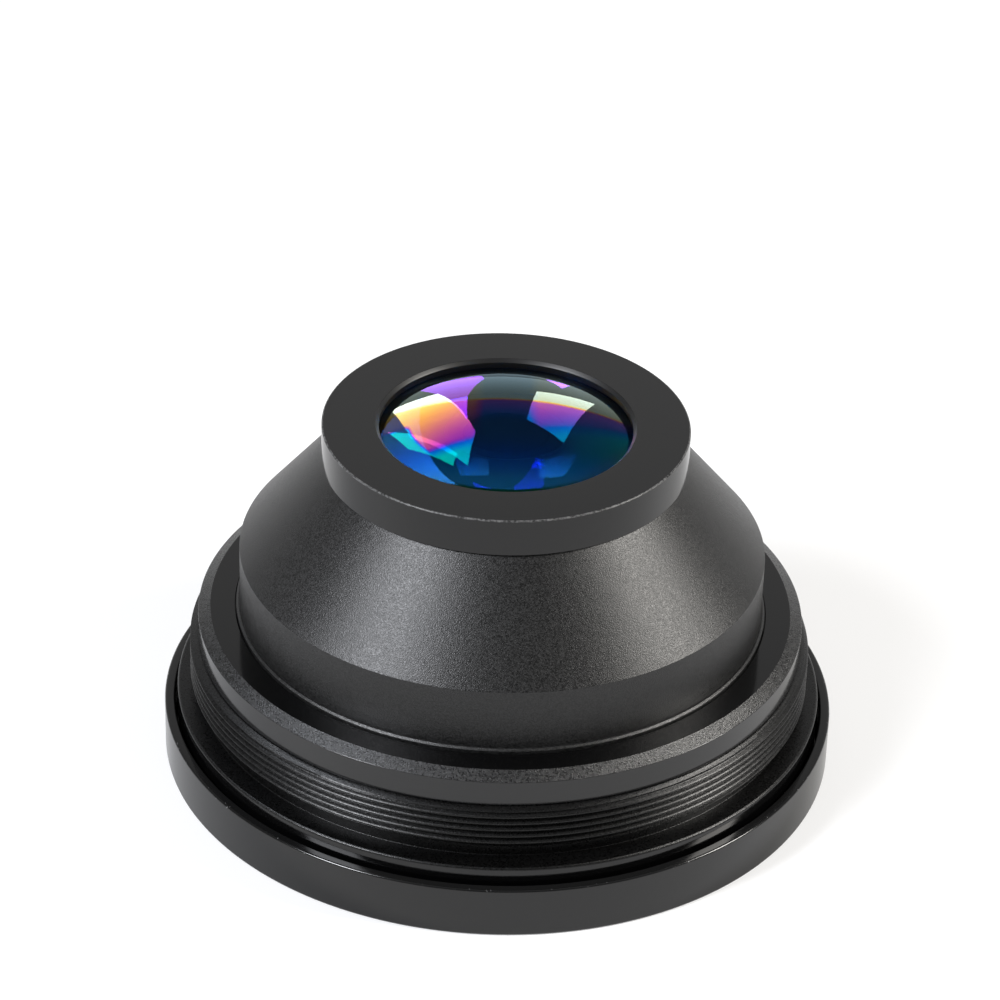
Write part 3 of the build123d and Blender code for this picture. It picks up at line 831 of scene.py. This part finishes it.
# %% Main finishes
for piece, node_name, slot, material in (
    (dust_cap, "dust_cap", "cap_plastic", cap_plastic),
    (main_housing, "main_housing", "satin_black_anodise", satin_black),
    (cone_barrel, "cone_barrel", "blasted_black_anodise", blast_black),
    (entrance_ring, "entrance_ring", "satin_black_anodise", satin_black),
    (entrance_lens, "entrance_lens", "coated_glass", dome_glass),
    (second_lens, "second_lens", "coated_glass", inner_glass),
    (third_lens, "third_lens", "coated_glass", inner_glass),
    (field_lens, "field_lens", "coated_glass", inner_glass),
):
    piece.data.materials.append(material)
    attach(piece, "root")
    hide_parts(node_name)
    print(node_name, "wears", material.name)

# %% [markdown]
# ## Zones
# One piece often has more than one finish: the collar's chamfer is blasted and its wall is
# turned. Splitting the piece would open a seam, so faces get a second material by where they
# are. A band of heights and radii is enough to name every zone of a turned piece.

# %% Zones
HAIR = 0.01
MARGIN = 0.1


def band(low, high, inner=0.0, outer=inf):
    """A test for faces between two heights and two radii."""
    return lambda radius, height: low < height <= high and inner < radius < outer


def zone(piece, material, inside):
    """Gives the faces whose middle (radius, height) is inside a zone their own finish."""
    piece.data.materials.append(material)
    slot = len(piece.data.materials) - 1
    count = 0
    for face in piece.data.polygons:
        middle = face.center / MM
        if inside(hypot(middle.x, middle.y), middle.z):
            face.material_index = slot
            count += 1
    print(piece.name, material.name, "faces", count)


def on_rear_face(radius, height):
    return height < lens_height(ENTRANCE_REAR_VERTEX, ENTRANCE_REAR, radius) + MARGIN / 2


collar_edge = collar_top - COLLAR_CHAMFER_HEIGHT + 2 * HAIR
chamfer_inside = COLLAR_RADIUS - COLLAR_CHAMFER_WIDTH - MARGIN
opening_outside = RING_OPENING + OPENING_CHAMFER + MARGIN
zone(main_housing, chamfer_black, band(collar_edge, collar_top - HAIR, chamfer_inside))
zone(main_housing, collar_black, band(COLLAR_FOOT, collar_edge, COLLAR_RADIUS - 2 * MARGIN))
zone(main_housing, thread_black, band(FLANGE_TOP - 6 * MARGIN, COLLAR_FOOT, NECK_RADIUS - MARGIN))
# The ring's rounded top edge gets the pale dots: partly wear, partly a painted highlight.
zone(entrance_ring, rubbed_edge_and_painted_highlight, band(ring_top - RING_EDGE, inf, ring_radius - RING_EDGE))
zone(entrance_ring, inner_black, band(-inf, ring_top - HAIR, outer=opening_outside))
zone(dust_cap, cap_rim_plastic, band(cap_rim - 3 * MARGIN, inf, cap_radius - 3 * MARGIN))
zone(entrance_lens, inner_glass, on_rear_face)
for lens in (entrance_lens, second_lens, third_lens, field_lens):
    rim = max(vertex.co.x for vertex in lens.data.vertices) / MM
    zone(lens, ground_rim, band(-inf, inf, rim - 3 * MARGIN))

# %% [markdown]
# ## Pieces that stay as the frame has them
# Seals, spacers, the baffle, the shim and the retaining rings are already as fine as they need
# to be, so they keep their solids and only get a finish in each of their slots.

# %% Finishes of the frame's own pieces
for node_name, material in (
    ("stepped_spacer", inner_black),
    ("third_lens_retainer", inner_black),
    ("field_lens_retainer", inner_black),
    ("window_retaining_ring", inner_black),
    ("stray_light_baffle", inner_black),
    ("barrel_shim", shim_steel),
    ("entrance_gasket", seal_film),
    ("third_lens_o_ring", seal_rubber),
    ("field_lens_o_ring", seal_rubber),
    ("window_o_ring", seal_rubber),
    ("barrel_o_ring", seal_rubber),
    ("protective_window", inner_glass),
):
    for material_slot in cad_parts[node_name].material_slots:
        material_slot.material = material
    print(node_name, material.name)

# %% [markdown]
# ## Studio floor
# The lens stands on a white sweep. A floor lit until it is white would throw too much light up
# at the black metal, so this one is a mid grey that also glows where the eye sees it directly
# or through glass, and less where it is seen in a reflection. The shadow stays.

# %% Floor
FLOOR_SIZE = 6.0
FLOOR_GREY = 0.56
FLOOR_GLOW = 0.46
GLOW_IN_REFLECTIONS = 0.46

bpy.ops.mesh.primitive_plane_add(size=FLOOR_SIZE, location=(0, 0, 0))
floor = bpy.context.object
floor.name = "studio_floor"
floor_material = bpy.data.materials.new("studio_floor")
floor_material.use_nodes = True
tree = floor_material.node_tree
tree.nodes.clear()
output = node(tree, "ShaderNodeOutputMaterial", (600, 0))
add = node(tree, "ShaderNodeAddShader", (400, 0))
diffuse = node(tree, "ShaderNodeBsdfDiffuse", (0, 100))
diffuse.inputs["Color"].default_value = (FLOOR_GREY, FLOOR_GREY, FLOOR_GREY, 1)
glow = node(tree, "ShaderNodeEmission", (200, -100))
light_path = node(tree, "ShaderNodeLightPath", (-400, -100))
seen = node(tree, "ShaderNodeMath", (-200, -100), operation="MAXIMUM")
seen_too = node(tree, "ShaderNodeMath", (-50, -100), operation="MULTIPLY_ADD")
seen_too.inputs[1].default_value = GLOW_IN_REFLECTIONS
tree.links.new(light_path.outputs["Is Camera Ray"], seen.inputs[0])
tree.links.new(light_path.outputs["Is Transmission Ray"], seen.inputs[1])
tree.links.new(light_path.outputs["Is Glossy Ray"], seen_too.inputs[0])
tree.links.new(seen.outputs[0], seen_too.inputs[2])
tree.links.new(seen_too.outputs[0], glow.inputs["Strength"])
tree.links.new(diffuse.outputs[0], add.inputs[0])
tree.links.new(glow.outputs[0], add.inputs[1])
tree.links.new(add.outputs[0], output.inputs["Surface"])
glow.inputs["Color"].default_value = (FLOOR_GLOW, FLOOR_GLOW, FLOOR_GLOW, 1)
floor.data.materials.append(floor_material)
print("floor", FLOOR_SIZE, "m wide")

# %% [markdown]
# ## Air of the studio
# The world is the soft light from walls and ceiling: bright near the floor, darker overhead.
# Black gloss shows whatever is around it, so the studio also needs dark places, as flags give
# in a real one. Each dimming names a direction and how dark the air is there. Real flags could
# be built as meshes, but they would throw hard shadows and stand in the way of other views.

# %% World
HORIZON_TO_ZENITH = ((0.14, 0.85), (0.3, 0.58), (0.52, 0.5), (0.8, 0.36))
# Direction of a dark place, where it begins and is full (as a cosine), and how dark it is.
DIMMINGS = (
    ((0, -1, 0), 0.0, 0.9, 0.3),
    ((-0.93, 0.15, 0.34), 0.55, 0.95, 0.36),
    ((0.93, 0.15, 0.34), 0.55, 0.95, 0.38),
    ((0, 0.6, 0.8), 0.93, 0.975, 0.2),
)

world = bpy.data.worlds.new("studio_air")
world.use_nodes = True
bpy.context.scene.world = world
tree = world.node_tree
background = tree.nodes["Background"]
coordinates = node(tree, "ShaderNodeTexCoord", (-800, 0))
axes = node(tree, "ShaderNodeSeparateXYZ", (-600, 0))
sky = node(tree, "ShaderNodeValToRGB", (-400, 0))
tree.links.new(coordinates.outputs["Generated"], axes.inputs[0])
tree.links.new(axes.outputs["Z"], sky.inputs["Fac"])
level_of_air = sky.outputs["Color"]
for number, (direction, low, high, darkest) in enumerate(DIMMINGS):
    facing = node(tree, "ShaderNodeVectorMath", (-600, -250 - 200 * number), operation="DOT_PRODUCT")
    facing.inputs[1].default_value = direction
    dimming = node(tree, "ShaderNodeMapRange", (-400, -250 - 200 * number), interpolation_type="SMOOTHSTEP")
    dimming.inputs["From Min"].default_value = low
    dimming.inputs["From Max"].default_value = high
    dimming.inputs["To Min"].default_value = 1.0
    dimming.inputs["To Max"].default_value = darkest
    dimmed = node(tree, "ShaderNodeMix", (-100 + 150 * number, 0), data_type="RGBA", blend_type="MULTIPLY")
    dimmed.inputs["Factor"].default_value = 1.0
    tree.links.new(coordinates.outputs["Generated"], facing.inputs[0])
    tree.links.new(facing.outputs["Value"], dimming.inputs["Value"])
    tree.links.new(level_of_air, dimmed.inputs["A"])
    tree.links.new(dimming.outputs["Result"], dimmed.inputs["B"])
    level_of_air = dimmed.outputs["Result"]
tree.links.new(level_of_air, background.inputs["Color"])
ramp = sky.color_ramp
ramp.elements[0].position = 0.0
ramp.elements[0].color = (1, 1, 1, 1)
ramp.elements[1].position = 1.0
ramp.elements[1].color = (0.35, 0.35, 0.36, 1)
for place, level in HORIZON_TO_ZENITH:
    ramp.elements.new(place).color = (level, level, level, 1)
print("world dimmed in", len(DIMMINGS), "directions")

# %% [markdown]
# ## Softboxes
# Two large softboxes, a cool one on the left and a warm one on the right, make the two bright
# flanks of the cone. Two small ones overhead are there for the collar's chamfer. Light linking
# keeps these two on the housing alone, since they would wash out the dark front of the cone.

# %% Lamps
LAMP_DISTANCE = 0.9
LAMP_AIM = Vector((0, 0, 0.035))
COOL, WARM = (0.93, 0.95, 1.0), (1.0, 0.97, 0.92)


def softbox(name, direction, distance, width, height, radiance, colour):
    """A rectangular lamp that faces the lens; power is radiance times area times pi."""
    lamp = bpy.data.lights.new(name, "AREA")
    lamp.shape = "RECTANGLE"
    lamp.size, lamp.size_y = width, height
    lamp.energy = radiance * width * height * pi
    lamp.color = colour
    holder = bpy.data.objects.new(name, lamp)
    bpy.context.scene.collection.objects.link(holder)
    holder.location = LAMP_AIM + Vector(direction).normalized() * distance
    holder.rotation_euler = (LAMP_AIM - holder.location).to_track_quat("-Z", "Y").to_euler()
    print("softbox", name, "radiance", radiance)
    return holder


softbox("left_softbox", (-0.638, -0.414, 0.652), LAMP_DISTANCE, 0.26, 0.34, 34, COOL)
softbox("right_softbox", (0.838, -0.092, 0.538), LAMP_DISTANCE, 0.24, 0.34, 31, WARM)
overheads = (
    softbox("left_overhead", (-0.44, 0.22, 0.87), LAMP_DISTANCE, 0.22, 0.22, 14, (0.88, 0.92, 1.0)),
    softbox("right_overhead", (0.49, 0.30, 0.82), LAMP_DISTANCE, 0.22, 0.22, 24, WARM),
)
only_the_housing = bpy.data.collections.new("only_the_housing")
only_the_housing.objects.link(main_housing)
for lamp in overheads:
    lamp.light_linking.receiver_collection = only_the_housing

# %% [markdown]
# ## Windows that the dome reflects
# The bright fields in the glass are windows behind the lens. Each is a glowing card of a few
# corners, given by direction, since far off only that matters to a reflection. Violet gels
# stand closer. Area lamps could only be rectangles or ellipses, and a studio picture for the
# world would bring picture data along. Light linking shows the cards to the dome alone, and a
# clear shader beside the glow lets the metal look straight through them.

# %% Window cards
DOME_PLACE = Vector((0, 0, 0.05))
WINDOW_DISTANCE, GEL_DISTANCE, CLOSE_GEL_DISTANCE = 3.0, 0.6, 0.22
VIOLET, DEEP_VIOLET, ROSE = (0.4, 0.06, 0.9), (0.38, 0.12, 4.0), (0.4, 0.1, 0.9)

only_the_dome = bpy.data.collections.new("only_the_dome")
only_the_dome.objects.link(entrance_lens)


def window_card(name, corners, radiance, distance=WINDOW_DISTANCE, colour=(1, 1, 1)):
    """A glowing card behind the lens, its corners given as (azimuth, elevation) in degrees."""
    vertices = []
    for azimuth, elevation in corners:
        across, rise = radians(azimuth), radians(elevation)
        direction = Vector((sin(across) * cos(rise), cos(across) * cos(rise), sin(rise)))
        vertices.append(DOME_PLACE + direction * distance)
    mesh = bpy.data.meshes.new(name)
    mesh.from_pydata(vertices, [], [list(range(len(vertices)))])
    card = bpy.data.objects.new(name, mesh)
    bpy.context.scene.collection.objects.link(card)
    material = bpy.data.materials.new(name)
    material.use_nodes = True
    material.node_tree.nodes.clear()
    emission = node(material.node_tree, "ShaderNodeEmission")
    emission.inputs["Strength"].default_value = radiance
    emission.inputs["Color"].default_value = (*colour, 1)
    clear = node(material.node_tree, "ShaderNodeBsdfTransparent", (0, -200))
    both = node(material.node_tree, "ShaderNodeAddShader", (200, 0))
    end = node(material.node_tree, "ShaderNodeOutputMaterial", (400, 0))
    material.node_tree.links.new(emission.outputs[0], both.inputs[0])
    material.node_tree.links.new(clear.outputs[0], both.inputs[1])
    material.node_tree.links.new(both.outputs[0], end.inputs["Surface"])
    mesh.materials.append(material)
    print("card", name, "corners", len(corners))
    card.visible_camera = False
    card.visible_shadow = False
    card.light_linking.receiver_collection = only_the_dome


window_card("left_window", [(-19, 10), (-11, 11), (-11, 46), (-25, 63), (-29, 36)], 9.5)
window_card("side_window", [(-28, 24), (-24, 55), (-32, 60), (-34, 40)], 9)
window_card("right_window", [(5, 14), (14, 10), (22, 46), (6, 38)], 5.8)
window_card("low_gel", [(-12, -5), (-3, -5), (-3, 2), (-8, 20), (-12, 20)], 5.6, GEL_DISTANCE, VIOLET)
window_card("high_gel", [(-8, 20), (-12, 38), (-12, 20)], 10, GEL_DISTANCE, DEEP_VIOLET)
window_card("right_gel", [(-1, -14), (9, -14), (9, 5)], 10, CLOSE_GEL_DISTANCE, ROSE)

# %% [markdown]
# ## Camera
# A long lens half a metre away gives little perspective. The camera looks down at about 32
# degrees and leans by about two. Its matrix is built from three directions, right, up and
# back, because an aiming constraint could not give the lean.

# %% Camera
LENS_LENGTH = 144
DISTANCE = 0.5397
ELEVATION = radians(31.70)
ROLL = radians(1.84)
AIM = Vector((-0.52, 0, 38.24)) * MM

camera_data = bpy.data.cameras.new("view_camera")
camera_data.lens = LENS_LENGTH
camera_data.sensor_width = 36
camera_data.clip_start = 0.01
camera = bpy.data.objects.new("view_camera", camera_data)
bpy.context.scene.collection.objects.link(camera)
forward = Vector((0, cos(ELEVATION), -sin(ELEVATION)))
level = Vector((1, 0, 0))
upright = Vector((0, sin(ELEVATION), cos(ELEVATION)))
right = cos(ROLL) * level + sin(ROLL) * upright
up = cos(ROLL) * upright - sin(ROLL) * level
turn = Matrix((right, up, -forward)).transposed().to_4x4()
camera.matrix_world = Matrix.Translation(AIM - DISTANCE * forward) @ turn
bpy.context.scene.camera = camera
bpy.context.scene.view_settings.view_transform = "Standard"
print("camera at", [round(value, 3) for value in camera.location])
